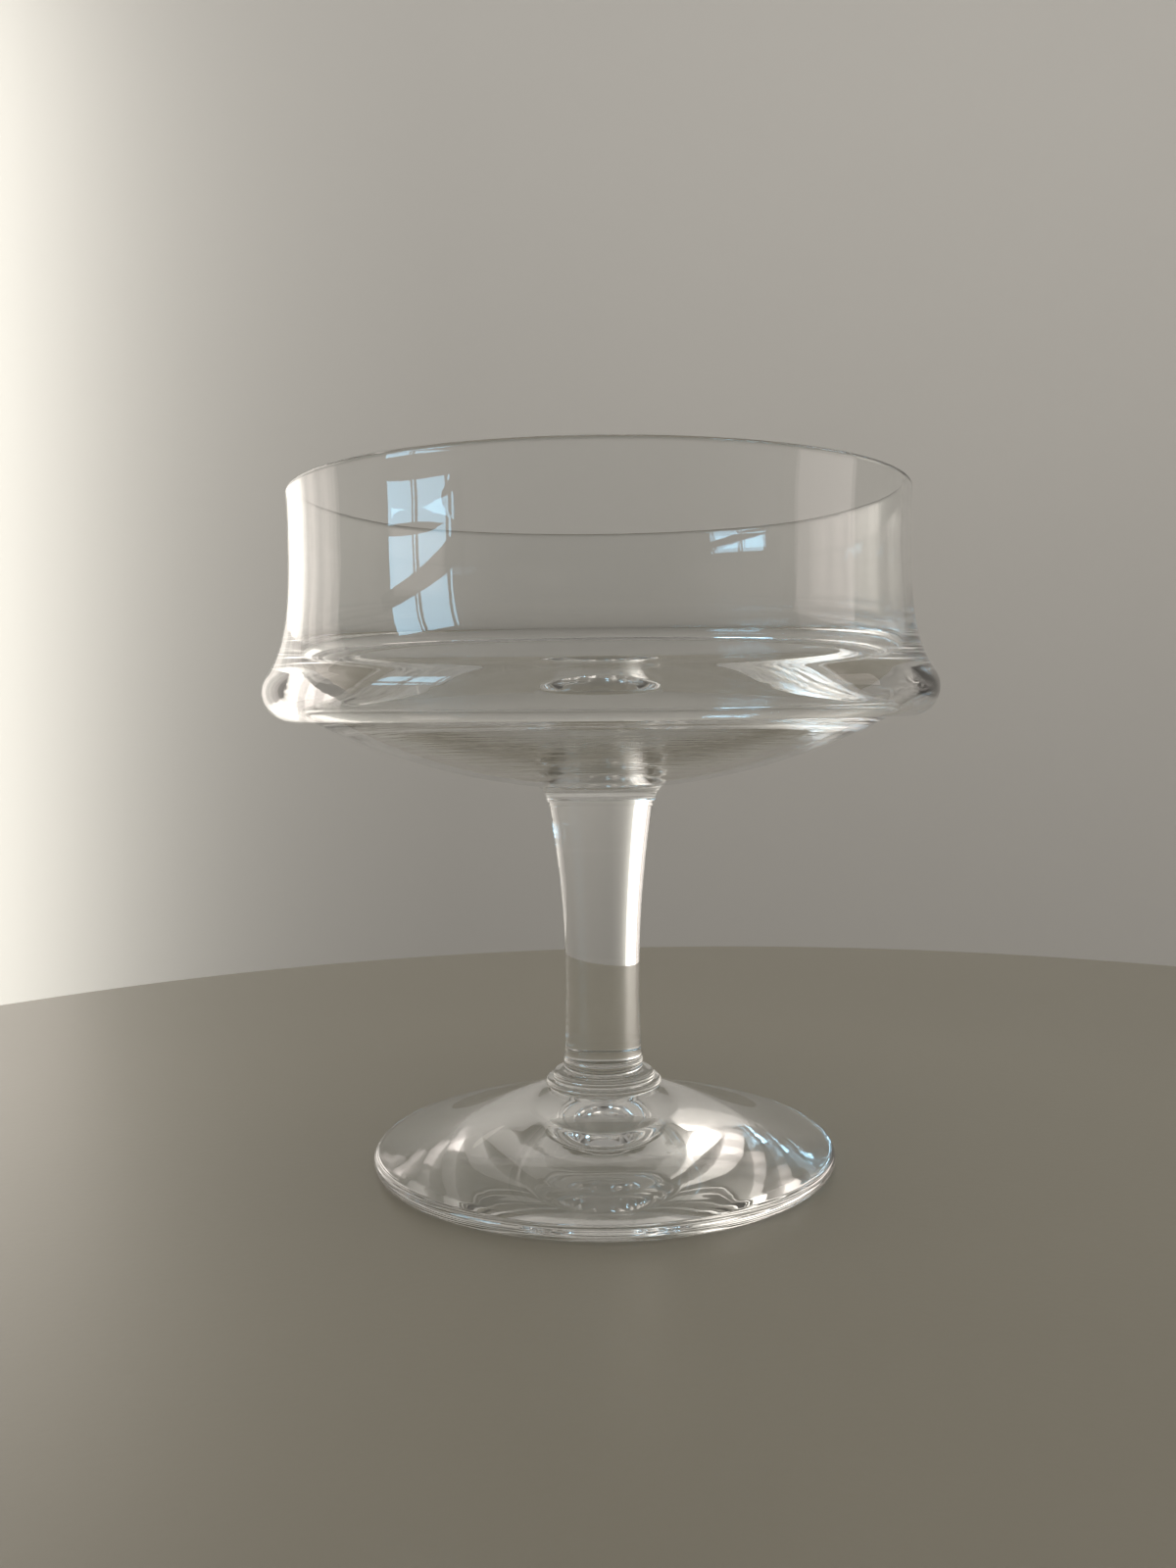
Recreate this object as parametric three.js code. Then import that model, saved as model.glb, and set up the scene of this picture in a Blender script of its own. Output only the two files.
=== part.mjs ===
// A stemmed cocktail glass, hand-made in six gathers of clear glass: a wide bowl with a waisted wall
// and a swollen hip, a collar, a solid stem, a stem ring, a disc ring and a spread foot.
// Millimetres, +Z up. The origin is on the glass's own axis, on the surface that the foot stands on.
// Each piece is a section (radius, height) turned about the axis, and the pieces are stacked upwards
// with a thin clearance where the real ones are fused together while hot.

import * as THREE from "three";

// Clearance between two pieces at a fused seat
const SEAT_GAP = 0.3;

// Foot: a low cone that sweeps out to a thin round edge, hollowed underneath, with a ground pontil mark
const FOOT_RADIUS = 35.2;
const FOOT_HEIGHT = 10.6;
const FOOT_EDGE_THICKNESS = 2.3;
const FOOT_BOSS_RADIUS = 8.6;
const CONE_BASE_RADIUS = 33;
const CONE_BASE_RISE = 0.2;
const CONE_LOWER_PULL = new THREE.Vector2(-9, 1.3);
const CONE_UPPER_PULL = new THREE.Vector2(9, -2.9);
const REST_RING_WIDTH = 2.6;
const HOLLOW_HEIGHT = 3.4;
const HOLLOW_OUTER_PULL = new THREE.Vector2(-8, 0.3);
const HOLLOW_INNER_PULL = new THREE.Vector2(7, -0.9);
const PONTIL_RADIUS = 9.5;
const PONTIL_DEPTH = 1.6;

// Disc ring: a wide lower edge with a narrower step above it, rising to a neck
const DISC_RADIUS = 8.9;
const DISC_EDGE_THICKNESS = 1.3;
const DISC_STEP_RADIUS = 7.9;
const DISC_HEIGHT = 2.4;
const DISC_NECK_RADIUS = 6.1;
const DISC_NECK_PULL = new THREE.Vector2(0.7, -0.5);

// Stem ring: a thin bead a little prouder than the stem
const RING_RADIUS = 6.15;
const RING_HEIGHT = 1.5;
const RING_END_RADIUS = 5.7;

// Stem: solid, slim below and flared at the top
const STEM_LENGTH = 39;
const STEM_FOOT_RADIUS = 5.9;
const STEM_LOWER_RADIUS = 5.3;
const STEM_UPPER_RADIUS = 5.75;
const STEM_TOP_RADIUS = 8.05;

// Collar: a short neck that flares into the underside of the bowl
const COLLAR_HEIGHT = 2.1;
const COLLAR_FOOT_RADIUS = 8.3;
const COLLAR_TOP_RADIUS = 10;
const COLLAR_FLARE = 0.9;

// Bowl, outside: a shallow dish below, a round hip, a wall that draws in to a waist and flares to the rim
const BOWL_HEIGHT = 43.4;
const DISH_CURVE_RADIUS = 92;
const HIP_RADIUS = 50;
const HIP_ROUND = 4.2;
const HIP_HEIGHT = 14.3;
const HIP_SHOULDER_ANGLE = THREE.MathUtils.degToRad(35);
const SHOULDER_PULL = 4;
const WAIST_RADIUS = 45.85;
const WAIST_HEIGHT = 33.9;
const WAIST_PULL = 9;
const RIM_RADIUS = 46;
const RIM_THICKNESS = 1.3;
const FLARE_LOWER_PULL = new THREE.Vector2(0, 3);
const FLARE_UPPER_PULL = new THREE.Vector2(-0.25, -3);

// Bowl, inside: a wall that opens a little below the waist, a round corner and a floor that follows the dish
const WALL_THICKNESS = 1.35;
const CORNER_RADIUS = 45.5;
const CORNER_ROUND = 6.5;
const CORNER_HEIGHT = 17.3;
const CORNER_START_ANGLE = THREE.MathUtils.degToRad(6);
const CORNER_PULL = 3;
const INNER_WAIST_PULL = 8;
const FLOOR_THICKNESS = 3.5;
const FLOOR_CURVE_RADIUS = 92;

// Facets
const WIDE_FACETS = 48;
const SLIM_FACETS = 32;
const EDGE_STEPS = 6;
const CURVE_STEPS = 7;

const QUARTER = Math.PI / 2;
const point = (radius, height) => new THREE.Vector2(radius, height);

// The point of a circle at an angle measured at its centre.
const along = (centre, radius, angle) =>
  point(centre.x + radius * Math.cos(angle), centre.y + radius * Math.sin(angle));

// A round stretch of a section, between two angles measured at its centre.
function arc(centre, radius, from, to, steps) {
  return Array.from({ length: steps + 1 }, (_, i) => along(centre, radius, from + ((to - from) * i) / steps));
}

// A smooth stretch from one point to another, drawn out along a pull at each end.
function sweep(start, startPull, end, endPull, steps) {
  const startGuide = start.clone().add(startPull);
  const endGuide = end.clone().add(endPull);
  const curve = new THREE.CubicBezierCurve(start, startGuide, endGuide, end);
  return curve.getPoints(steps);
}

// A pull of the given length along the upward tangent of a round, at an angle measured at its centre.
const leaning = (angle, length) => point(-Math.sin(angle) * length, Math.cos(angle) * length);

const angleAt = (centre, target) => Math.atan2(target.y - centre.y, target.x - centre.x);

// Where two circles cross, on the side that lies clockwise from the line between their centres.
function crossing(centreA, radiusA, centreB, radiusB) {
  const apart = centreA.distanceTo(centreB);
  const reach = (apart * apart + radiusA * radiusA - radiusB * radiusB) / (2 * apart);
  const turn = Math.acos(reach / radiusA);
  return along(centreA, radiusA, angleAt(centreA, centreB) - turn);
}

// Turns a section that runs from the axis at the bottom round to the axis at the top.
function turned(name, section, facets, material) {
  const distinct = section.filter((p, i) => i === 0 || p.distanceTo(section[i - 1]) > 1e-6);
  const geometry = new THREE.LatheGeometry(distinct, facets);
  geometry.rotateX(QUARTER);
  const mesh = new THREE.Mesh(geometry, material);
  mesh.name = name;
  return mesh;
}

function footSection() {
  const edgeRound = FOOT_EDGE_THICKNESS / 2;
  const edgeCentre = point(FOOT_RADIUS - edgeRound, edgeRound);
  const pontilCurve = (PONTIL_RADIUS ** 2 + PONTIL_DEPTH ** 2) / (2 * PONTIL_DEPTH);
  const pontilCentre = point(0, HOLLOW_HEIGHT + PONTIL_DEPTH - pontilCurve);
  const pontilLip = point(PONTIL_RADIUS, HOLLOW_HEIGHT);
  const restInner = point(edgeCentre.x - REST_RING_WIDTH, 0);
  const coneBase = point(CONE_BASE_RADIUS, FOOT_EDGE_THICKNESS + CONE_BASE_RISE);
  const bossEdge = point(FOOT_BOSS_RADIUS, FOOT_HEIGHT);
  return [
    ...arc(pontilCentre, pontilCurve, QUARTER, angleAt(pontilCentre, pontilLip), EDGE_STEPS),
    ...sweep(pontilLip, HOLLOW_INNER_PULL, restInner, HOLLOW_OUTER_PULL, CURVE_STEPS),
    ...arc(edgeCentre, edgeRound, -QUARTER, QUARTER, EDGE_STEPS),
    ...sweep(coneBase, CONE_LOWER_PULL, bossEdge, CONE_UPPER_PULL, CURVE_STEPS),
    point(0, FOOT_HEIGHT),
  ];
}

function discSection() {
  const edgeRound = DISC_EDGE_THICKNESS / 2;
  const edgeCentre = point(DISC_RADIUS - edgeRound, edgeRound);
  const step = point(DISC_STEP_RADIUS, DISC_EDGE_THICKNESS);
  const neck = point(DISC_NECK_RADIUS, DISC_HEIGHT);
  return [
    point(0, 0),
    ...arc(edgeCentre, edgeRound, -QUARTER, QUARTER, EDGE_STEPS),
    ...sweep(step, point(0, DISC_HEIGHT - DISC_EDGE_THICKNESS), neck, DISC_NECK_PULL, CURVE_STEPS),
    point(0, DISC_HEIGHT),
  ];
}

function ringSection() {
  const pull = point((RING_RADIUS - RING_END_RADIUS) * 4 / 3, 0);
  const lowerEnd = point(RING_END_RADIUS, 0);
  const upperEnd = point(RING_END_RADIUS, RING_HEIGHT);
  return [
    point(0, 0),
    ...sweep(lowerEnd, pull, upperEnd, pull, EDGE_STEPS),
    point(0, RING_HEIGHT),
  ];
}

function stemSection() {
  const third = STEM_LENGTH / 3;
  const foot = point(STEM_FOOT_RADIUS, 0);
  const top = point(STEM_TOP_RADIUS, STEM_LENGTH);
  const lowerPull = point(STEM_LOWER_RADIUS - STEM_FOOT_RADIUS, third);
  const upperPull = point(STEM_UPPER_RADIUS - STEM_TOP_RADIUS, -third);
  return [point(0, 0), ...sweep(foot, lowerPull, top, upperPull, 2 * CURVE_STEPS), point(0, STEM_LENGTH)];
}

function collarSection() {
  const foot = point(COLLAR_FOOT_RADIUS, 0);
  const top = point(COLLAR_TOP_RADIUS, COLLAR_HEIGHT);
  return [
    point(0, 0),
    ...sweep(foot, point(0, COLLAR_FLARE), top, point(-COLLAR_FLARE, 0), CURVE_STEPS),
    point(0, COLLAR_HEIGHT),
  ];
}

function bowlSection() {
  const seatEdge = point(COLLAR_TOP_RADIUS, 0);
  const dishCentre = point(0, Math.sqrt(DISH_CURVE_RADIUS ** 2 - COLLAR_TOP_RADIUS ** 2));
  const hipCentre = point(HIP_RADIUS - HIP_ROUND, HIP_HEIGHT);
  const dishEnd = crossing(dishCentre, DISH_CURVE_RADIUS, hipCentre, HIP_ROUND);
  const dishEndAngle = angleAt(dishCentre, dishEnd);
  const shoulder = along(hipCentre, HIP_ROUND, HIP_SHOULDER_ANGLE);
  const waist = point(WAIST_RADIUS, WAIST_HEIGHT);
  const rimRound = RIM_THICKNESS / 2;
  const rimCentre = point(RIM_RADIUS - rimRound, BOWL_HEIGHT - rimRound);
  const rimOutside = along(rimCentre, rimRound, 0);
  const rimInside = along(rimCentre, rimRound, Math.PI);

  const innerWaist = point(WAIST_RADIUS - WALL_THICKNESS, WAIST_HEIGHT);
  const cornerCentre = point(CORNER_RADIUS - CORNER_ROUND, CORNER_HEIGHT);
  const cornerStart = along(cornerCentre, CORNER_ROUND, CORNER_START_ANGLE);
  const cornerPull = leaning(CORNER_START_ANGLE, CORNER_PULL);
  const floorCentre = point(0, FLOOR_THICKNESS + FLOOR_CURVE_RADIUS);
  const floorEdge = crossing(floorCentre, FLOOR_CURVE_RADIUS, cornerCentre, CORNER_ROUND);
  const floorEdgeAngle = angleAt(floorCentre, floorEdge);
  return [
    point(0, 0),
    ...arc(dishCentre, DISH_CURVE_RADIUS, angleAt(dishCentre, seatEdge), dishEndAngle, CURVE_STEPS),
    ...arc(hipCentre, HIP_ROUND, angleAt(hipCentre, dishEnd), 0, EDGE_STEPS),
    ...arc(hipCentre, HIP_ROUND, 0, HIP_SHOULDER_ANGLE, EDGE_STEPS),
    ...sweep(shoulder, leaning(HIP_SHOULDER_ANGLE, SHOULDER_PULL), waist, point(0, -WAIST_PULL), CURVE_STEPS),
    ...sweep(waist, FLARE_LOWER_PULL, rimOutside, FLARE_UPPER_PULL, EDGE_STEPS),
    ...arc(rimCentre, rimRound, 0, Math.PI, EDGE_STEPS),
    ...sweep(rimInside, FLARE_UPPER_PULL, innerWaist, FLARE_LOWER_PULL, EDGE_STEPS),
    ...sweep(innerWaist, point(0, -INNER_WAIST_PULL), cornerStart, cornerPull, CURVE_STEPS),
    ...arc(cornerCentre, CORNER_ROUND, CORNER_START_ANGLE, angleAt(cornerCentre, floorEdge), EDGE_STEPS),
    ...arc(floorCentre, FLOOR_CURVE_RADIUS, floorEdgeAngle, -QUARTER, CURVE_STEPS),
  ];
}

const clearGlass = () => new THREE.MeshStandardMaterial({ color: 0xe8edeb, roughness: 0.03, metalness: 0 });

// The stack, from the foot up: each piece stands on the one before it, less the clearance
const pieces = [
  { name: "foot", section: footSection(), height: FOOT_HEIGHT, facets: WIDE_FACETS },
  { name: "disc_ring", section: discSection(), height: DISC_HEIGHT, facets: SLIM_FACETS },
  { name: "stem_ring", section: ringSection(), height: RING_HEIGHT, facets: SLIM_FACETS },
  { name: "stem", section: stemSection(), height: STEM_LENGTH, facets: SLIM_FACETS },
  { name: "collar", section: collarSection(), height: COLLAR_HEIGHT, facets: SLIM_FACETS },
  { name: "bowl", section: bowlSection(), height: BOWL_HEIGHT, facets: WIDE_FACETS },
];

const glass = new THREE.Group();
let level = 0;
for (const { name, section, height, facets } of pieces) {
  const mesh = turned(name, section, facets, clearGlass());
  mesh.position.z = level;
  glass.add(mesh);
  level += height + SEAT_GAP;
}

export default glass;
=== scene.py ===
"""Looks of a hand-made stemmed cocktail glass, in metres, +Z up, with its foot's centre at the origin.

The glass is six gathers of clear glass, fused end to end: a spread foot, a disc ring, a stem ring, a
solid stem, a collar and a wide bowl. Each is turned here as a fine closed body from its own section,
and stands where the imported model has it.
"""

import logging
import math
from dataclasses import dataclass
from enum import Enum

import bpy
from mathutils import Matrix, Vector

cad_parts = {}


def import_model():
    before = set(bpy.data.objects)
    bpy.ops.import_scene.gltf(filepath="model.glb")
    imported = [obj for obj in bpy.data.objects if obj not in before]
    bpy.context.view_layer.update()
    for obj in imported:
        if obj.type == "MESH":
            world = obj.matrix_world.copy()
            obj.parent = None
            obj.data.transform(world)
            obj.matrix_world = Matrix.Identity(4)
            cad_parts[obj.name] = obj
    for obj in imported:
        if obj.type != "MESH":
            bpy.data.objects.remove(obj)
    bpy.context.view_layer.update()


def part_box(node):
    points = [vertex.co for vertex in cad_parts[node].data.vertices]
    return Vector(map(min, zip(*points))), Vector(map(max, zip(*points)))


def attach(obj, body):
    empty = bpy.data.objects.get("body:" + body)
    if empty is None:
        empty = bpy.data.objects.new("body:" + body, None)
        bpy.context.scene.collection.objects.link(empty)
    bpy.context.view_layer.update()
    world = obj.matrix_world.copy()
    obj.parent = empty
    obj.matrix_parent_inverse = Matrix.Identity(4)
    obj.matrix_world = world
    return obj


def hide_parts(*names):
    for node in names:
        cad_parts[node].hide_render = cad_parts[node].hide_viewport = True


LOG = logging.getLogger("cocktail_glass")
MM = 0.001
AXIS_FOOT = (0.0, 0.0, 0.0)
UPWARD = (0.0, 0.0, 1.0)
FULL_TURN = 2 * math.pi
QUARTER = math.pi / 2
BODY = "root"

CROWN_PULL = 4 / 3  # a sweep rises three quarters of its two equal pulls
RINGED_HEIGHT = 0.012  # the bowl shows its tool rings up to this height above its seat
SHARP_ANGLE = math.radians(32)  # edges sharper than this stay crisp on a piece
MERGE_DISTANCE = 2e-7  # points nearer than this are one point, in metres
SEAT_TOLERANCE = 1e-6  # a face this near a seat's height lies on it, in metres

Point = tuple[float, float]
Place = tuple[float, float, float]
Colour = tuple[float, float, float]
Socket = bpy.types.NodeSocket


# ---------------------------------------------------------------- sections


def on_circle(centre: Point, radius: float, angle: float) -> Point:
    """The point of a circle at an angle measured at its centre."""
    return centre[0] + radius * math.cos(angle), centre[1] + radius * math.sin(angle)


def angle_at(centre: Point, target: Point) -> float:
    """The angle at which a centre sees a point."""
    return math.atan2(target[1] - centre[1], target[0] - centre[0])


def arc(centre: Point, radius: float, start: float, end: float, steps: int) -> list[Point]:
    """A round stretch of a section.

    Args:
        centre: The round's centre, as radius and height.
        radius: The round's own radius.
        start: The angle it starts at.
        end: The angle it ends at.
        steps: How many chords it has.

    Returns:
        The points, both ends included.
    """
    return [on_circle(centre, radius, start + (end - start) * i / steps) for i in range(steps + 1)]


def sweep(start: Point, start_pull: Point, end: Point, end_pull: Point, steps: int) -> list[Point]:
    """A smooth stretch of a section, drawn out along a pull at each end.

    Args:
        start: The first point.
        start_pull: How far and which way the curve leaves it.
        end: The last point.
        end_pull: How far and which way the curve comes in to it.
        steps: How many chords it has.

    Returns:
        The points, both ends included.
    """
    guides = (
        start,
        (start[0] + start_pull[0], start[1] + start_pull[1]),
        (end[0] + end_pull[0], end[1] + end_pull[1]),
        end,
    )
    points = []
    for i in range(steps + 1):
        t = i / steps
        shares = ((1 - t) ** 3, 3 * t * (1 - t) ** 2, 3 * t * t * (1 - t), t**3)
        points.append(tuple(sum(s * g[axis] for s, g in zip(shares, guides)) for axis in (0, 1)))
    return points


def crossing(centre_a: Point, radius_a: float, centre_b: Point, radius_b: float) -> Point:
    """Where two circles cross, on the side that lies clockwise from the line between their centres.

    Args:
        centre_a: The first circle's centre.
        radius_a: Its radius.
        centre_b: The second circle's centre.
        radius_b: Its radius.

    Returns:
        The crossing point.
    """
    apart = math.dist(centre_a, centre_b)
    reach = (apart**2 + radius_a**2 - radius_b**2) / (2 * apart)
    return on_circle(centre_a, radius_a, angle_at(centre_a, centre_b) - math.acos(reach / radius_a))


def leaning(angle: float, length: float) -> Point:
    """A pull of the given length along the upward tangent of a round, at an angle at its centre."""
    return -math.sin(angle) * length, math.cos(angle) * length


# ---------------------------------------------------------------- node helpers


class NodeBench:
    """Adds and joins the nodes of one material or world."""

    def __init__(self, tree: bpy.types.NodeTree) -> None:
        """Clears a node tree and keeps it.

        Args:
            tree: The tree to build in.
        """
        self.tree = tree
        tree.nodes.clear()

    def add(self, kind: str, label: str, **settings: object) -> bpy.types.Node:
        """Adds a node.

        Args:
            kind: The node's type name.
            label: What it is for.
            **settings: Properties of the node, by name.

        Returns:
            The new node.
        """
        node = self.tree.nodes.new(kind)
        node.label = label
        for name, value in settings.items():
            setattr(node, name, value)
        return node

    def join(self, source: Socket, target: Socket) -> None:
        """Links an output to an input."""
        self.tree.links.new(source, target)

    def sum_of(self, label: str, first: Socket, second: Socket) -> Socket:
        """Adds two numbers.

        Args:
            label: What the sum is for.
            first: One number.
            second: The other.

        Returns:
            The sum's socket.
        """
        node = self.add("ShaderNodeMath", label, operation="ADD")
        self.join(first, node.inputs[0])
        self.join(second, node.inputs[1])
        return node.outputs[0]

    def scaled(self, label: str, value: Socket, factor: float) -> Socket:
        """Multiplies a number by a constant.

        Args:
            label: What the product is for.
            value: The number.
            factor: The constant.

        Returns:
            The product's socket.
        """
        node = self.add("ShaderNodeMath", label, operation="MULTIPLY")
        self.join(value, node.inputs[0])
        node.inputs[1].default_value = factor
        return node.outputs[0]

    def product_of(self, label: str, first: Socket, second: Socket) -> Socket:
        """Multiplies two numbers.

        Args:
            label: What the product is for.
            first: One number.
            second: The other.

        Returns:
            The product's socket.
        """
        node = self.add("ShaderNodeMath", label, operation="MULTIPLY")
        self.join(first, node.inputs[0])
        self.join(second, node.inputs[1])
        return node.outputs[0]


# ---------------------------------------------------------------- finishes


@dataclass(frozen=True)
class ClearGlass:
    """Clear, fire-polished glass with the faint marks that hand work leaves in it.

    The drift is a slow unevenness of the surface, the drawn streaks run along the piece, and the tool
    rings run round it below a height. Each is a height in metres and a pattern scale per metre. Smears
    of polish make the gloss a little uneven.
    """

    tint: Colour = (0.988, 0.993, 0.990)
    index: float = 1.5
    gloss_from: float = 0.0
    gloss_to: float = 0.012
    smear_scale: float = 45.0
    smear_from: float = 0.45
    smear_to: float = 0.8
    drift_height: float = 0.000012
    drift_scale: float = 70.0
    streak_height: float = 0.000003
    streak_scale: float = 420.0
    streak_draw: float = 0.04
    ring_height: float = 0.0
    ring_scale: float = 900.0
    ring_waver: float = 0.03
    rings_below: float = 0.0
    ring_fade: float = 0.002
    shade: float = 0.93

    def make(self, name: str) -> bpy.types.Material:
        """Builds the material.

        Args:
            name: Its name.

        Returns:
            The material.
        """
        material = bpy.data.materials.new(name)
        material.use_nodes = True
        bench = NodeBench(material.node_tree)
        place = bench.add("ShaderNodeTexCoord", "place on the piece")
        height = self._marks(bench, place.outputs["Object"])

        bump = bench.add("ShaderNodeBump", "hand-worked surface")
        bump.inputs["Strength"].default_value = 1.0
        bump.inputs["Distance"].default_value = 1.0
        bench.join(height, bump.inputs["Height"])

        smears = bench.add("ShaderNodeTexNoise", "smears of polish")
        smears.inputs["Scale"].default_value = self.smear_scale
        smears.inputs["Detail"].default_value = 3.0
        bench.join(place.outputs["Object"], smears.inputs["Vector"])
        gloss = bench.add("ShaderNodeMapRange", "gloss")
        gloss.inputs["From Min"].default_value = self.smear_from
        gloss.inputs["From Max"].default_value = self.smear_to
        gloss.inputs["To Min"].default_value = self.gloss_from
        gloss.inputs["To Max"].default_value = self.gloss_to
        bench.join(smears.outputs["Fac"], gloss.inputs["Value"])

        glass = bench.add("ShaderNodeBsdfPrincipled", "clear glass")
        glass.inputs["Base Color"].default_value = (*self.tint, 1.0)
        glass.inputs["Transmission Weight"].default_value = 1.0
        glass.inputs["IOR"].default_value = self.index
        bench.join(gloss.outputs["Result"], glass.inputs["Roughness"])
        bench.join(bump.outputs["Normal"], glass.inputs["Normal"])

        rays = bench.add("ShaderNodeLightPath", "lamp rays")
        lamp_light = bench.add("ShaderNodeBsdfTransparent", "light that the glass lets through")
        lamp_light.inputs["Color"].default_value = (self.shade, self.shade, self.shade, 1.0)
        mix = bench.add("ShaderNodeMixShader", "glass, clear to lamps")
        bench.join(rays.outputs["Is Shadow Ray"], mix.inputs["Fac"])
        bench.join(glass.outputs["BSDF"], mix.inputs[1])
        bench.join(lamp_light.outputs["BSDF"], mix.inputs[2])
        output = bench.add("ShaderNodeOutputMaterial", "surface")
        bench.join(mix.outputs["Shader"], output.inputs["Surface"])
        return material

    def _marks(self, bench: NodeBench, place: Socket) -> Socket:
        """Builds the surface's height from its drift, streaks and tool rings.

        Args:
            bench: The material's bench.
            place: The place on the piece.

        Returns:
            The height's socket, in metres.
        """
        drift = bench.add("ShaderNodeTexNoise", "slow drift of the wall")
        drift.inputs["Scale"].default_value = self.drift_scale
        drift.inputs["Detail"].default_value = 1.0
        bench.join(place, drift.inputs["Vector"])

        along = bench.add("ShaderNodeMapping", "drawn out along the piece")
        along.inputs["Scale"].default_value = (1.0, 1.0, self.streak_draw)
        bench.join(place, along.inputs["Vector"])
        streaks = bench.add("ShaderNodeTexNoise", "drawn streaks")
        streaks.inputs["Scale"].default_value = self.streak_scale
        streaks.inputs["Detail"].default_value = 2.0
        bench.join(along.outputs["Vector"], streaks.inputs["Vector"])

        height = bench.sum_of(
            "drift and streaks",
            bench.scaled("drift height", drift.outputs["Fac"], self.drift_height),
            bench.scaled("streak height", streaks.outputs["Fac"], self.streak_height),
        )
        if self.ring_height:
            height = bench.sum_of("with tool rings", height, self._rings(bench, place))
        return height

    def _rings(self, bench: NodeBench, place: Socket) -> Socket:
        """Builds the fine rings that the shaping tool leaves round the axis, below a height.

        Args:
            bench: The material's bench.
            place: The place on the piece.

        Returns:
            The height's socket, in metres.
        """
        parts = bench.add("ShaderNodeSeparateXYZ", "place, split")
        bench.join(place, parts.inputs[0])
        flat = bench.add("ShaderNodeCombineXYZ", "place in plan")
        bench.join(parts.outputs["X"], flat.inputs["X"])
        bench.join(parts.outputs["Y"], flat.inputs["Y"])
        reach = bench.add("ShaderNodeVectorMath", "distance from the axis", operation="LENGTH")
        bench.join(flat.outputs["Vector"], reach.inputs[0])
        turned = bench.add("ShaderNodeCombineXYZ", "ring pattern's place")
        bench.join(reach.outputs["Value"], turned.inputs["X"])
        for axis, target in (("X", "Y"), ("Y", "Z")):
            waver = bench.scaled(f"rings waver along {axis}", parts.outputs[axis], self.ring_waver)
            bench.join(waver, turned.inputs[target])
        rings = bench.add("ShaderNodeTexNoise", "tool rings")
        rings.inputs["Scale"].default_value = self.ring_scale
        rings.inputs["Detail"].default_value = 3.0
        bench.join(turned.outputs["Vector"], rings.inputs["Vector"])
        reach_down = bench.add("ShaderNodeMapRange", "only below the hip")
        reach_down.inputs["From Min"].default_value = self.rings_below
        reach_down.inputs["From Max"].default_value = self.rings_below - self.ring_fade
        reach_down.inputs["To Min"].default_value = 0.0
        reach_down.inputs["To Max"].default_value = self.ring_height
        bench.join(parts.outputs["Z"], reach_down.inputs["Value"])
        return bench.product_of("ring height", rings.outputs["Fac"], reach_down.outputs["Result"])


@dataclass(frozen=True)
class FusedJoint:
    """The inside of a hot joint: glass meets glass there, so light goes straight on."""

    def make(self, name: str) -> bpy.types.Material:
        """Builds the material.

        Args:
            name: Its name.

        Returns:
            The material.
        """
        material = bpy.data.materials.new(name)
        material.use_nodes = True
        bench = NodeBench(material.node_tree)
        clear = bench.add("ShaderNodeBsdfTransparent", "glass fused to glass")
        output = bench.add("ShaderNodeOutputMaterial", "surface")
        bench.join(clear.outputs["BSDF"], output.inputs["Surface"])
        return material


@dataclass(frozen=True)
class StudioPaint:
    """A matt studio surface with a faint mottle."""

    colour: Colour
    mottle: float = 0.02
    mottle_scale: float = 9.0
    roughness: float = 0.6
    grain_scale: float = 900.0
    grain_height: float = 0.00001

    def make(self, name: str) -> bpy.types.Material:
        """Builds the material.

        Args:
            name: Its name.

        Returns:
            The material.
        """
        material = bpy.data.materials.new(name)
        material.use_nodes = True
        bench = NodeBench(material.node_tree)
        place = bench.add("ShaderNodeTexCoord", "place on the piece")
        cloud = bench.add("ShaderNodeTexNoise", "mottle")
        cloud.inputs["Scale"].default_value = self.mottle_scale
        cloud.inputs["Detail"].default_value = 4.0
        bench.join(place.outputs["Object"], cloud.inputs["Vector"])
        ramp = bench.add("ShaderNodeValToRGB", "paint")
        for element, factor in zip(ramp.color_ramp.elements, (1 - self.mottle, 1 + self.mottle)):
            element.color = (*(channel * factor for channel in self.colour), 1.0)
        bench.join(cloud.outputs["Fac"], ramp.inputs["Fac"])
        grain = bench.add("ShaderNodeTexNoise", "grain")
        grain.inputs["Scale"].default_value = self.grain_scale
        bench.join(place.outputs["Object"], grain.inputs["Vector"])
        bump = bench.add("ShaderNodeBump", "fine grain")
        bump.inputs["Distance"].default_value = self.grain_height
        bench.join(grain.outputs["Fac"], bump.inputs["Height"])
        paint = bench.add("ShaderNodeBsdfPrincipled", "studio paint")
        paint.inputs["Roughness"].default_value = self.roughness
        bench.join(ramp.outputs["Color"], paint.inputs["Base Color"])
        bench.join(bump.outputs["Normal"], paint.inputs["Normal"])
        output = bench.add("ShaderNodeOutputMaterial", "surface")
        bench.join(paint.outputs["BSDF"], output.inputs["Surface"])
        return material


class Slot(Enum):
    """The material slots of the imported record."""

    BOWL = "bowl_glass"
    STEM = "stem_glass"
    FOOT = "foot_glass"


# ---------------------------------------------------------------- turned pieces


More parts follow.
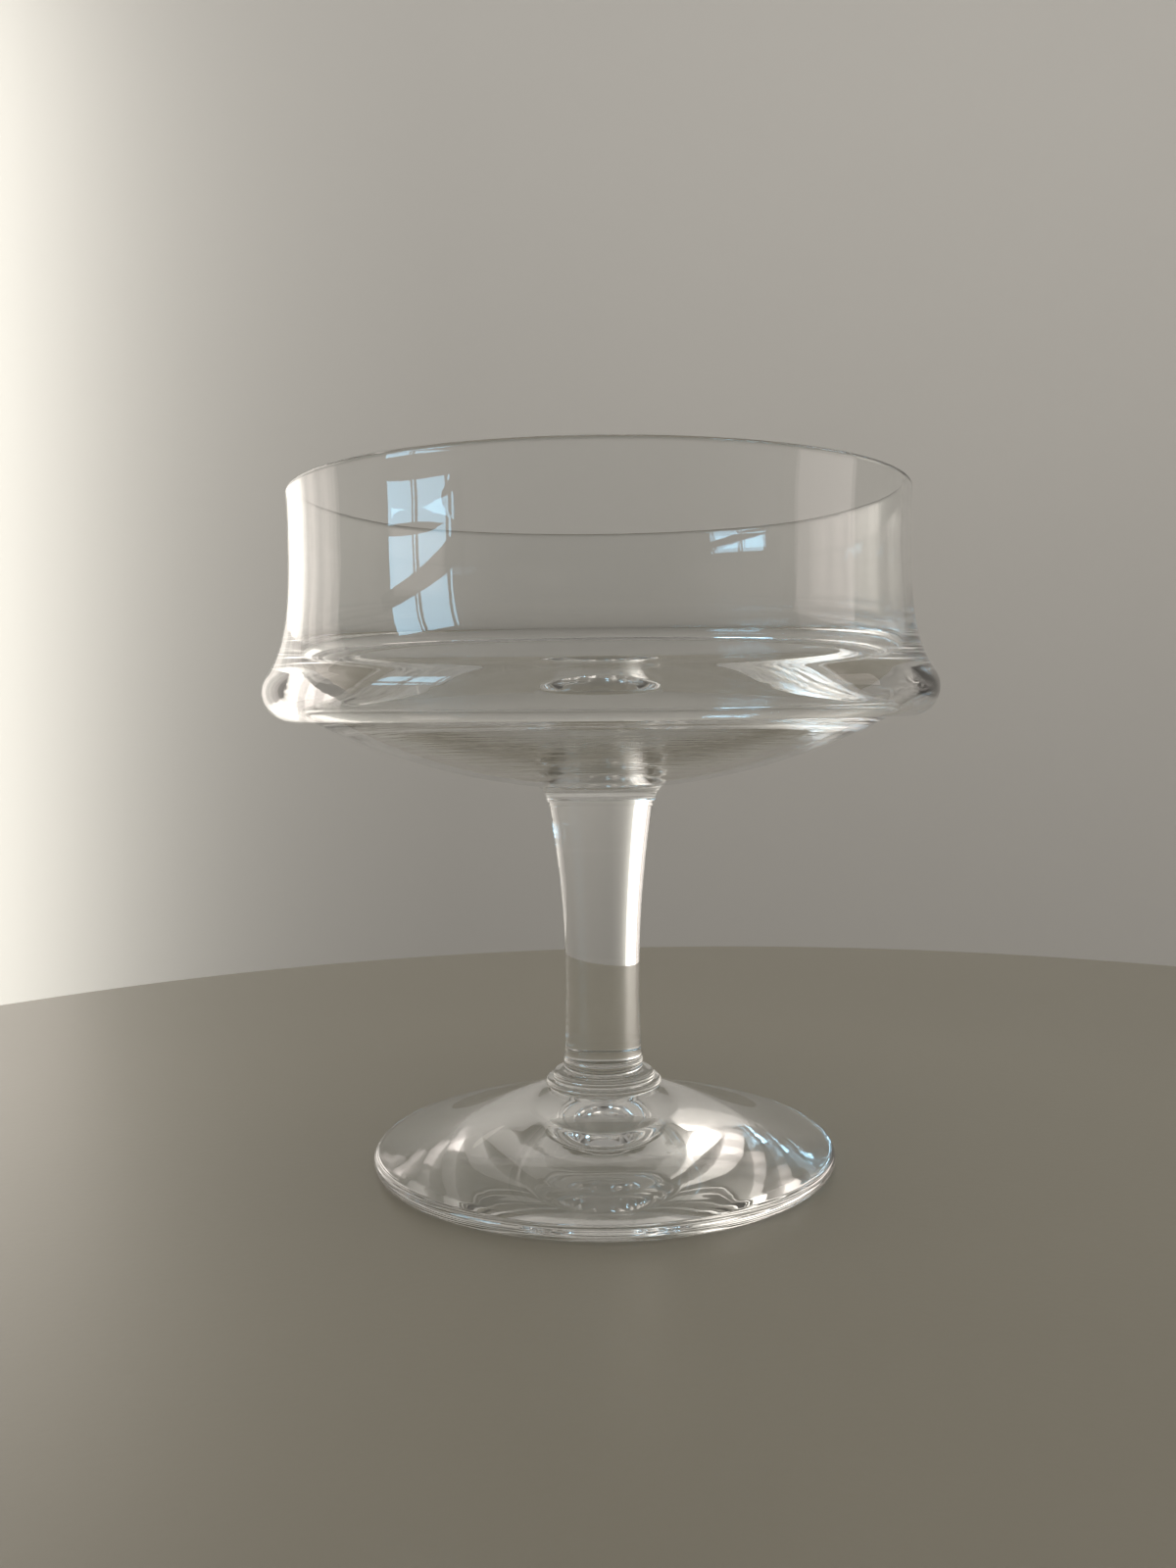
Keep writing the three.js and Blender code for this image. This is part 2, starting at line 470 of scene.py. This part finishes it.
@dataclass
class TurnedPiece:
    """One gather of glass, turned about the axis from a section in millimetres.

    The section runs from the axis at the bottom, round the outside, to the axis at the top. Heights
    are above the piece's own seat.
    """

    name: str
    slot: Slot
    above: str | None
    facets: int = 160

    def section(self, height: float) -> list[Point]:
        """The piece's section.

        Args:
            height: The height from its own seat to the seat of the piece above, in millimetres.

        Returns:
            Points as radius and height, in millimetres.
        """
        raise NotImplementedError

    def lower_joint(self) -> float:
        """The radius at which the piece is fused to the one below, in millimetres."""
        return 0.0

    def upper_joint(self) -> float:
        """The radius at which the piece is fused to the one above, in millimetres."""
        return 0.0

    def build(self, glass: bpy.types.Material, joint: bpy.types.Material) -> bpy.types.Object:
        """Turns the piece, fuses it to its neighbours and dresses it.

        Args:
            glass: The finish of its outside.
            joint: The finish of the faces where it is fused.

        Returns:
            The finished piece.
        """
        low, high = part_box(self.name)
        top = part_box(self.above)[0].z if self.above else high.z
        points = [(r * MM, low.z + z * MM) for r, z in self.section((top - low.z) / MM)]
        piece = self._turn(points)
        self._dress(piece, glass, joint, low.z, top)
        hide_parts(self.name)
        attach(piece, BODY)
        LOG.info("%s: %d faces, %.1f mm high", self.name, len(piece.data.polygons), (top - low.z) / MM)
        return piece

    def _turn(self, points: list[Point]) -> bpy.types.Object:
        """Draws the section out point by point and spins it into a closed body.

        Args:
            points: The section, in metres.

        Returns:
            The turned body.
        """
        bpy.ops.object.select_all(action="DESELECT")
        bpy.ops.mesh.primitive_plane_add(size=MM, location=(points[0][0], 0.0, points[0][1]))
        piece = bpy.context.object
        piece.name = piece.data.name = "glass_" + self.name
        bpy.ops.object.transform_apply(location=True, rotation=False, scale=False)
        bpy.ops.object.mode_set(mode="EDIT")
        bpy.ops.mesh.select_all(action="SELECT")
        bpy.ops.mesh.merge(type="CENTER")
        for (r0, z0), (r1, z1) in zip(points, points[1:]):
            bpy.ops.mesh.extrude_region_move(TRANSFORM_OT_translate={"value": (r1 - r0, 0.0, z1 - z0)})
        bpy.ops.mesh.select_all(action="SELECT")
        bpy.ops.mesh.spin(
            steps=self.facets,
            angle=FULL_TURN,
            center=AXIS_FOOT,
            axis=UPWARD,
            use_auto_merge=True,
        )
        bpy.ops.mesh.select_all(action="SELECT")
        bpy.ops.mesh.remove_doubles(threshold=MERGE_DISTANCE)
        bpy.ops.mesh.normals_make_consistent(inside=False)
        bpy.ops.object.mode_set(mode="OBJECT")
        return piece

    def _dress(
        self,
        piece: bpy.types.Object,
        glass: bpy.types.Material,
        joint: bpy.types.Material,
        low: float,
        top: float,
    ) -> None:
        """Smooths the piece and gives its outside and its fused faces their finishes.

        Args:
            piece: The turned piece.
            glass: The finish of its outside.
            joint: The finish of its fused faces.
            low: The height of its seat.
            top: The height of its top.
        """
        piece.data.materials.append(glass)
        piece.data.materials.append(joint)
        seats = [(low, self.lower_joint() * MM), (top, self.upper_joint() * MM)]
        for face in piece.data.polygons:
            centre = face.center
            reach = math.hypot(centre.x, centre.y)
            for height, radius in seats:
                if abs(centre.z - height) < SEAT_TOLERANCE and reach < radius:
                    face.material_index = 1
        bpy.ops.object.select_all(action="DESELECT")
        piece.select_set(True)
        bpy.context.view_layer.objects.active = piece
        bpy.ops.object.shade_smooth_by_angle(angle=SHARP_ANGLE)


@dataclass
class Foot(TurnedPiece):
    """The spread foot: a low cone that sweeps out to a thin round edge, hollowed underneath."""

    radius: float = 35.2
    edge_thickness: float = 2.3
    boss_radius: float = 8.6
    cone_base_radius: float = 33.0
    cone_base_rise: float = 0.2
    cone_lower_pull: Point = (-9.0, 1.3)
    cone_upper_pull: Point = (9.0, -2.9)
    rest_ring_width: float = 2.6
    hollow_height: float = 3.4
    hollow_outer_pull: Point = (-8.0, 0.3)
    hollow_inner_pull: Point = (7.0, -0.9)
    pontil_radius: float = 9.5
    pontil_depth: float = 1.6
    fused_radius: float = 8.25

    def upper_joint(self) -> float:
        """The foot is fused to the disc ring inside the disc's rounded edge."""
        return self.fused_radius

    def section(self, height: float) -> list[Point]:
        """The foot's section, from the pontil mark out to the edge and up to the boss.

        Args:
            height: The height from its own seat to the disc ring, in millimetres.

        Returns:
            Points as radius and height, in millimetres.
        """
        edge_round = self.edge_thickness / 2
        edge_centre = (self.radius - edge_round, edge_round)
        pontil_curve = (self.pontil_radius**2 + self.pontil_depth**2) / (2 * self.pontil_depth)
        pontil_centre = (0.0, self.hollow_height + self.pontil_depth - pontil_curve)
        lip = (self.pontil_radius, self.hollow_height)
        rest_inner = (edge_centre[0] - self.rest_ring_width, 0.0)
        cone_base = (self.cone_base_radius, self.edge_thickness + self.cone_base_rise)
        boss = (self.boss_radius, height)
        return [
            *arc(pontil_centre, pontil_curve, QUARTER, angle_at(pontil_centre, lip), steps=16),
            *sweep(lip, self.hollow_inner_pull, rest_inner, self.hollow_outer_pull, steps=28)[1:],
            *arc(edge_centre, edge_round, -QUARTER, QUARTER, steps=20),
            *sweep(cone_base, self.cone_lower_pull, boss, self.cone_upper_pull, steps=36),
            (self.fused_radius, height),
            (0.0, height),
        ]


@dataclass
class DiscRing(TurnedPiece):
    """The disc ring: a wide rounded edge with a narrower step above it, rising to a neck."""

    radius: float = 8.9
    edge_thickness: float = 1.3
    step_radius: float = 7.9
    neck_radius: float = 6.1
    neck_pull: Point = (0.7, -0.5)
    ring_radius: float = 5.7

    def lower_joint(self) -> float:
        """The disc is fused to the foot inside its own rounded edge."""
        return self.radius - self.edge_thickness / 2

    def upper_joint(self) -> float:
        """The disc's neck is fused to the stem ring."""
        return self.ring_radius

    def section(self, height: float) -> list[Point]:
        """The disc's section, round its edge, up the step and in to the neck.

        Args:
            height: The height from its own seat to the stem ring, in millimetres.

        Returns:
            Points as radius and height, in millimetres.
        """
        edge_round = self.edge_thickness / 2
        edge_centre = (self.radius - edge_round, edge_round)
        step = (self.step_radius, self.edge_thickness)
        neck = (self.neck_radius, height)
        return [
            (0.0, 0.0),
            *arc(edge_centre, edge_round, -QUARTER, QUARTER, steps=14),
            *sweep(step, (0.0, height - self.edge_thickness), neck, self.neck_pull, steps=12),
            (self.ring_radius, height),
            (0.0, height),
        ]


@dataclass
class StemRing(TurnedPiece):
    """The stem ring: a thin bead a little prouder than the stem."""

    radius: float = 6.15
    end_radius: float = 5.7

    def lower_joint(self) -> float:
        """The bead is fused to the disc's neck over its whole end."""
        return self.end_radius

    def upper_joint(self) -> float:
        """The bead is fused to the stem over its whole end."""
        return self.end_radius

    def section(self, height: float) -> list[Point]:
        """The bead's section.

        Args:
            height: The height from its own seat to the stem, in millimetres.

        Returns:
            Points as radius and height, in millimetres.
        """
        pull = (self.radius - self.end_radius) * CROWN_PULL
        lower, upper = (self.end_radius, 0.0), (self.end_radius, height)
        bead = sweep(lower, (pull, 0.0), upper, (pull, 0.0), steps=16)
        return [(0.0, 0.0), *bead, (0.0, height)]


@dataclass
class Stem(TurnedPiece):
    """The solid stem, slim below and flared at the top."""

    foot_radius: float = 5.9
    lower_radius: float = 5.3
    upper_radius: float = 5.75
    top_radius: float = 8.05
    ring_radius: float = 5.7

    def lower_joint(self) -> float:
        """The stem is fused to the stem ring."""
        return self.ring_radius

    def upper_joint(self) -> float:
        """The stem is fused to the collar over its whole top."""
        return self.top_radius

    def section(self, height: float) -> list[Point]:
        """The stem's section.

        Args:
            height: The height from its own seat to the collar, in millimetres.

        Returns:
            Points as radius and height, in millimetres.
        """
        third = height / 3
        flank = sweep(
            (self.foot_radius, 0.0),
            (self.lower_radius - self.foot_radius, third),
            (self.top_radius, height),
            (self.upper_radius - self.top_radius, -third),
            steps=64,
        )
        return [(0.0, 0.0), (self.ring_radius, 0.0), *flank, (0.0, height)]


@dataclass
class Collar(TurnedPiece):
    """The collar: a short neck that flares into the underside of the bowl."""

    foot_radius: float = 8.3
    top_radius: float = 10.0
    flare: float = 0.9
    stem_radius: float = 8.05

    def lower_joint(self) -> float:
        """The collar is fused to the stem over the stem's whole top."""
        return self.stem_radius

    def upper_joint(self) -> float:
        """The collar is fused to the bowl over its whole top."""
        return self.top_radius

    def section(self, height: float) -> list[Point]:
        """The collar's section.

        Args:
            height: The height from its own seat to the bowl, in millimetres.

        Returns:
            Points as radius and height, in millimetres.
        """
        lower, upper = (self.foot_radius, 0.0), (self.top_radius, height)
        flank = sweep(lower, (0.0, self.flare), upper, (-self.flare, 0.0), steps=16)
        return [(0.0, 0.0), (self.stem_radius, 0.0), *flank, (0.0, height)]


@dataclass
class Bowl(TurnedPiece):
    """The bowl: a shallow dish, a round hip, a wall that draws in to a waist, and a fire-polished rim."""

    seat_radius: float = 10.0
    dish_curve: float = 92.0
    hip_radius: float = 50.0
    hip_round: float = 4.2
    hip_height: float = 14.3
    shoulder_angle: float = math.radians(35)
    shoulder_pull: float = 4.0
    waist_radius: float = 45.85
    waist_height: float = 33.9
    waist_pull: float = 9.0
    rim_radius: float = 46.0
    rim_thickness: float = 1.3
    flare_pull: float = 3.0
    rim_lean: float = 0.25
    wall_thickness: float = 1.35
    corner_radius: float = 45.5
    corner_round: float = 6.5
    corner_height: float = 17.3
    corner_start: float = math.radians(6)
    corner_pull: float = 3.0
    inner_waist_pull: float = 8.0
    floor_thickness: float = 3.5
    floor_curve: float = 92.0

    def lower_joint(self) -> float:
        """The bowl is fused to the collar over its whole seat."""
        return self.seat_radius

    def section(self, height: float) -> list[Point]:
        """The bowl's section, out along the dish, over the rim and back along the floor.

        Args:
            height: The height from its own seat to the rim's top, in millimetres.

        Returns:
            Points as radius and height, in millimetres.
        """
        dish_centre = (0.0, math.sqrt(self.dish_curve**2 - self.seat_radius**2))
        hip_centre = (self.hip_radius - self.hip_round, self.hip_height)
        dish_end = crossing(dish_centre, self.dish_curve, hip_centre, self.hip_round)
        dish_from = angle_at(dish_centre, (self.seat_radius, 0.0))
        waist = (self.waist_radius, self.waist_height)
        rim_round = self.rim_thickness / 2
        rim_centre = (self.rim_radius - rim_round, height - rim_round)
        rim_outside = (self.rim_radius, rim_centre[1])
        rim_inside = (self.rim_radius - self.rim_thickness, rim_centre[1])
        rim_down = (-self.rim_lean, -self.flare_pull)
        waist_up = (0.0, self.flare_pull)

        inner_waist = (self.waist_radius - self.wall_thickness, self.waist_height)
        corner_centre = (self.corner_radius - self.corner_round, self.corner_height)
        floor_centre = (0.0, self.floor_thickness + self.floor_curve)
        floor_edge = crossing(floor_centre, self.floor_curve, corner_centre, self.corner_round)
        floor_from = angle_at(floor_centre, floor_edge)
        corner_end = angle_at(corner_centre, floor_edge)
        return [
            (0.0, 0.0),
            *arc(dish_centre, self.dish_curve, dish_from, angle_at(dish_centre, dish_end), steps=30),
            *arc(hip_centre, self.hip_round, angle_at(hip_centre, dish_end), 0.0, steps=20)[1:],
            *arc(hip_centre, self.hip_round, 0.0, self.shoulder_angle, steps=10)[1:],
            *sweep(
                on_circle(hip_centre, self.hip_round, self.shoulder_angle),
                leaning(self.shoulder_angle, self.shoulder_pull),
                waist,
                (0.0, -self.waist_pull),
                steps=30,
            )[1:],
            *sweep(waist, waist_up, rim_outside, rim_down, steps=12)[1:],
            *arc(rim_centre, rim_round, 0.0, math.pi, steps=18)[1:],
            *sweep(rim_inside, rim_down, inner_waist, waist_up, steps=12)[1:-1],
            *sweep(
                inner_waist,
                (0.0, -self.inner_waist_pull),
                on_circle(corner_centre, self.corner_round, self.corner_start),
                leaning(self.corner_start, self.corner_pull),
                steps=26,
            ),
            *arc(corner_centre, self.corner_round, self.corner_start, corner_end, steps=22)[1:],
            *arc(floor_centre, self.floor_curve, floor_from, -QUARTER, steps=32)[1:],
        ]


# ---------------------------------------------------------------- studio


def soften_edges(thing: bpy.types.Object, width: float, segments: int) -> None:
    """Bevels the edges of a thing.

    Args:
        thing: The object, which is the active one.
        width: The bevel's width.
        segments: How many steps it has.
    """
    edge = thing.modifiers.new("softened edge", "BEVEL")
    edge.width = width
    edge.segments = segments
    bpy.ops.object.modifier_apply(modifier=edge.name)


@dataclass(frozen=True)
class SoftPanel:
    """A soft rectangular light, aimed at the glass unless it says otherwise."""

    name: str
    place: Place
    width: float
    height: float
    power: float
    colour: Colour = (1.0, 1.0, 1.0)
    aim: Place = (0.0, 0.0, 0.06)
    in_glass: bool = True
    on_paint: bool = True

    def build(self) -> bpy.types.Object:
        """Hangs the light.

        Returns:
            The light object.
        """
        bpy.ops.object.select_all(action="DESELECT")
        bpy.ops.object.light_add(type="AREA", location=self.place)
        panel = bpy.context.object
        panel.name = self.name
        panel.data.shape = "RECTANGLE"
        panel.data.size = self.width
        panel.data.size_y = self.height
        panel.data.energy = self.power
        panel.data.color = self.colour
        direction = Vector(self.aim) - Vector(self.place)
        panel.rotation_euler = direction.to_track_quat("-Z", "Y").to_euler()
        panel.visible_camera = False
        panel.visible_glossy = panel.visible_transmission = self.in_glass
        panel.visible_diffuse = self.on_paint
        return panel


RIGHT_PANEL = SoftPanel(
    name="right_panel",
    place=(1.0, -0.09, 0.26),
    width=0.50,
    height=0.42,
    power=0.60,
    colour=(1.0, 0.90, 0.85),
)
LEFT_WASH = SoftPanel(
    name="left_wash",
    place=(-0.69, 0.882, 0.2),
    width=0.45,
    height=1.4,
    power=5.2,
    colour=(1.0, 0.99, 0.94),
    aim=(-0.80, 1.023, 0.2),
    in_glass=False,
)
OVERHEAD_FILL = SoftPanel(
    name="overhead_fill",
    place=(0.1, 0.1, 1.35),
    width=1.3,
    height=1.3,
    power=3.2,
    colour=(1.0, 0.97, 0.93),
    in_glass=False,
)
BACKDROP_WASH = SoftPanel(
    name="backdrop_wash",
    place=(0.0, -0.2, 1.3),
    width=1.4,
    height=0.5,
    power=17.5,
    colour=(1.0, 0.985, 0.965),
    aim=(0.0, 1.3, -0.1),
    in_glass=False,
)


@dataclass
class PanedLight:
    """The tall cool light in panes that shows in the wall of the bowl, behind a slanting black card.

    Each pane is the offset of its middle and its width. The card's taper is how much of its width its
    lower end lacks.
    """

    facing: Place = (-0.891, -0.454, 0.0)
    distance: float = 1.2
    panes: tuple[Point, ...] = ((-0.165, 0.216), (-0.0356, 0.0126), (0.110, 0.229), (0.2594, 0.0175))
    low: float = 0.262
    high: float = 0.763
    glow: float = 26.0
    colour: Colour = (0.42, 0.76, 1.0)
    card_distance: float = 1.12
    card_height: float = 0.350
    card_length: float = 0.70
    card_thickness: float = 0.003
    card_width: float = 0.090
    card_edge: float = 0.0008
    card_tilt: float = math.radians(13)
    card_taper: float = 0.2
    card_paint: StudioPaint = StudioPaint(colour=(0.02, 0.02, 0.02), roughness=0.8)

    def build(self) -> None:
        """Hangs the panes side by side, and the card before them."""
        facing = Vector(self.facing)
        across = Vector((-facing.y, facing.x, 0.0))
        for number, (offset, width) in enumerate(self.panes):
            place = facing * self.distance + across * offset
            place.z = (self.low + self.high) / 2
            tall = self.high - self.low
            SoftPanel(
                name=f"window_light_{number}",
                place=tuple(place),
                width=width,
                height=tall,
                power=self.glow * width * tall,
                colour=self.colour,
                aim=(place.x - facing.x, place.y - facing.y, place.z),
                on_paint=False,
            ).build()
        self._hang_card(facing, across)

    def _hang_card(self, facing: Vector, across: Vector) -> None:
        """Hangs the black card, a little narrower at its lower end.

        Args:
            facing: The way from the glass to the middle of the card.
            across: The way along the panes.
        """
        bpy.ops.object.select_all(action="DESELECT")
        middle = facing * self.card_distance
        bpy.ops.mesh.primitive_cube_add(size=1.0, location=(middle.x, middle.y, self.card_height))
        card = bpy.context.object
        card.name = "studio_black_card"
        for vertex in card.data.vertices:
            if vertex.co.x > 0 and vertex.co.z < 0:
                vertex.co.z += self.card_taper
        upright = Matrix((across, -facing, UPWARD)).transposed()
        card.rotation_euler = (upright @ Matrix.Rotation(self.card_tilt, 3, "Y")).to_euler()
        card.scale = (self.card_length, self.card_thickness, self.card_width)
        bpy.ops.object.transform_apply(location=True, rotation=True, scale=True)
        soften_edges(card, self.card_edge, 2)
        card.data.materials.append(self.card_paint.make("card_paint"))
        card.visible_camera = False


@dataclass
class FoldedLight:
    """The broad warm light at the left, folded like a curtain into strips of uneven strength."""

    middle: Place = (-0.645, 0.493, 0.22)
    span: float = 0.77
    height: float = 0.74
    glows: tuple[float, ...] = (0.70, 0.95, 0.62, 0.92, 1.15, 0.66, 1.10, 0.74, 1.05, 0.72)
    colour: Colour = (1.0, 0.895, 0.825)

    def build(self) -> None:
        """Hangs the strips side by side."""
        middle = Vector(self.middle)
        facing = -Vector((middle.x, middle.y, 0.0)).normalized()
        across = Vector((facing.y, -facing.x, 0.0))
        wide = self.span / len(self.glows)
        for number, glow in enumerate(self.glows):
            place = middle + across * ((number + 0.5) * wide - self.span / 2)
            SoftPanel(
                name=f"folded_light_{number}",
                place=tuple(place),
                width=wide,
                height=self.height,
                power=glow * math.pi * wide * self.height,
                colour=self.colour,
                aim=(place.x + facing.x, place.y + facing.y, place.z),
            ).build()


@dataclass
class Table:
    """The round table that the glass stands on, with a softened edge."""

    radius: float = 0.242
    centre: Point = (0.026, -0.0635)
    thickness: float = 0.012
    edge: float = 0.002
    air_gap: float = 0.0002
    round_faces: int = 192
    smooth_angle: float = math.radians(40)
    paint: StudioPaint = StudioPaint(
        colour=(0.142, 0.130, 0.101),
        roughness=0.38,
        mottle=0.04,
        mottle_scale=14.0,
    )

    def build(self) -> None:
        """Builds the table a hair's breadth below the foot, so that no face of it meets the glass."""
        bpy.ops.object.select_all(action="DESELECT")
        middle = -self.air_gap - self.thickness / 2
        bpy.ops.mesh.primitive_cylinder_add(
            vertices=self.round_faces,
            radius=self.radius,
            depth=self.thickness,
            location=(*self.centre, middle),
        )
        table = bpy.context.object
        table.name = "studio_table"
        bpy.ops.object.transform_apply(location=True, rotation=False, scale=False)
        soften_edges(table, self.edge, 3)
        bpy.ops.object.shade_smooth_by_angle(angle=self.smooth_angle)
        table.data.materials.append(self.paint.make("table_paint"))


@dataclass
class Backdrop:
    """The curved pale wall behind the table."""

    radius: float = 1.3
    low: float = -1.0
    high: float = 1.7
    half_turn: float = math.radians(115)
    round_faces: int = 96
    paint: StudioPaint = StudioPaint(
        colour=(0.50, 0.485, 0.455),
        roughness=0.9,
        mottle=0.03,
        mottle_scale=1.6,
    )

    def build(self) -> None:
        """Builds the wall by drawing its edge up and spinning it round the glass."""
        bpy.ops.object.select_all(action="DESELECT")
        start = Vector((0.0, self.radius, 0.0))
        start.rotate(Matrix.Rotation(self.half_turn, 3, "Z"))
        bpy.ops.mesh.primitive_plane_add(size=MM, location=(start.x, start.y, self.low))
        backdrop = bpy.context.object
        backdrop.name = "studio_backdrop"
        bpy.ops.object.transform_apply(location=True, rotation=False, scale=False)
        bpy.ops.object.mode_set(mode="EDIT")
        bpy.ops.mesh.select_all(action="SELECT")
        bpy.ops.mesh.merge(type="CENTER")
        rise = (0.0, 0.0, self.high - self.low)
        bpy.ops.mesh.extrude_region_move(TRANSFORM_OT_translate={"value": rise})
        bpy.ops.mesh.select_all(action="SELECT")
        bpy.ops.mesh.spin(steps=self.round_faces, angle=2 * self.half_turn, center=AXIS_FOOT, axis=UPWARD)
        bpy.ops.object.mode_set(mode="OBJECT")
        bpy.ops.object.shade_smooth()
        backdrop.data.materials.append(self.paint.make("backdrop_paint"))


@dataclass
class Room:
    """The dim plain room round the studio, darker behind the camera.

    The bounds are how far back a direction points, from 1 straight ahead to -1 straight behind.
    """

    colour: Colour = (0.30, 0.285, 0.262)
    dark_from: float = -0.95
    light_from: float = -0.35
    dark_share: float = 0.08

    def build(self) -> None:
        """Builds the room's plain light."""
        world = bpy.data.worlds.new("studio_room")
        bpy.context.scene.world = world
        world.use_nodes = True
        bench = NodeBench(world.node_tree)
        place = bench.add("ShaderNodeTexCoord", "direction")
        parts = bench.add("ShaderNodeSeparateXYZ", "direction, split")
        bench.join(place.outputs["Generated"], parts.inputs[0])
        share = bench.add("ShaderNodeMapRange", "dark behind the camera", interpolation_type="SMOOTHSTEP")
        share.inputs["From Min"].default_value = self.dark_from
        share.inputs["From Max"].default_value = self.light_from
        share.inputs["To Min"].default_value = self.dark_share
        share.inputs["To Max"].default_value = 1.0
        bench.join(parts.outputs["Y"], share.inputs["Value"])
        room = bench.add("ShaderNodeBackground", "room")
        room.inputs["Color"].default_value = (*self.colour, 1.0)
        bench.join(share.outputs["Result"], room.inputs["Strength"])
        output = bench.add("ShaderNodeOutputWorld", "world")
        bench.join(room.outputs["Background"], output.inputs["Surface"])


@dataclass
class Camera:
    """The camera at the eye's place, tipped a little down and turned a little."""

    back: float = 0.20046846
    height: float = 0.06879265
    pitch: float = 0.05758
    yaw: float = -0.00968
    roll: float = 0.01007
    lens: float = 30.237
    sensor: float = 36.0
    nearest: float = 0.005

    def build(self) -> None:
        """Places the camera and makes it the scene's own."""
        cos_p, sin_p = math.cos(self.pitch), math.sin(self.pitch)
        cos_y, sin_y = math.cos(self.yaw), math.sin(self.yaw)
        ahead = Vector((sin_y * cos_p, cos_y * cos_p, -sin_p))
        level = Vector((cos_y, -sin_y, 0.0))
        down = ahead.cross(level)
        cos_r, sin_r = math.cos(self.roll), math.sin(self.roll)
        right = level * cos_r + down * sin_r
        up = level * sin_r - down * cos_r
        bpy.ops.object.select_all(action="DESELECT")
        bpy.ops.object.camera_add(location=(0.0, -self.back, self.height))
        camera = bpy.context.object
        camera.name = "studio_camera"
        turn = Matrix((right, up, -ahead)).transposed()
        camera.rotation_euler = turn.to_euler()
        camera.data.sensor_width = self.sensor
        camera.data.lens = self.lens
        camera.data.clip_start = self.nearest
        bpy.context.scene.camera = camera


@dataclass
class LightPaths:
    """How far light is followed, so that it gets through all the walls of the glass."""

    through_glass: int = 32
    mirrored: int = 16
    through_clear: int = 48

    def build(self) -> None:
        """Sets the bounces, and keeps the colours plain."""
        scene = bpy.context.scene
        scene.cycles.max_bounces = self.through_glass
        scene.cycles.transmission_bounces = self.through_glass
        scene.cycles.glossy_bounces = self.mirrored
        scene.cycles.transparent_max_bounces = self.through_clear
        scene.view_settings.view_transform = "Standard"


def build_studio() -> None:
    """Builds the table, the backdrop, the lights, the room and the camera."""
    Table().build()
    Backdrop().build()
    PanedLight().build()
    FoldedLight().build()
    for panel in (RIGHT_PANEL, LEFT_WASH, OVERHEAD_FILL, BACKDROP_WASH):
        panel.build()
    Room().build()
    Camera().build()
    LightPaths().build()
    LOG.info("studio ready")


# ---------------------------------------------------------------- the whole glass


def main() -> None:
    """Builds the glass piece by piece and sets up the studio."""
    logging.basicConfig(level=logging.INFO, format="%(name)s: %(message)s")
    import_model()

    joint = FusedJoint().make("fused_joint")
    foot_glass = ClearGlass(drift_height=0.000016, drift_scale=130.0).make("foot_glass_clear")
    stem_glass = ClearGlass(streak_height=0.000002).make("stem_glass_clear")
    bowl_glass = ClearGlass(
        ring_height=0.000012,
        ring_scale=1500.0,
        rings_below=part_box("bowl")[0].z + RINGED_HEIGHT,
    ).make("bowl_glass_clear")

    Foot("foot", Slot.FOOT, above="disc_ring", facets=224).build(foot_glass, joint)
    DiscRing("disc_ring", Slot.STEM, above="stem_ring").build(stem_glass, joint)
    StemRing("stem_ring", Slot.STEM, above="stem").build(stem_glass, joint)
    Stem("stem", Slot.STEM, above="collar").build(stem_glass, joint)
    Collar("collar", Slot.STEM, above="bowl").build(stem_glass, joint)
    Bowl("bowl", Slot.BOWL, above=None, facets=256).build(bowl_glass, joint)

    build_studio()


if __name__ == "__main__":
    main()
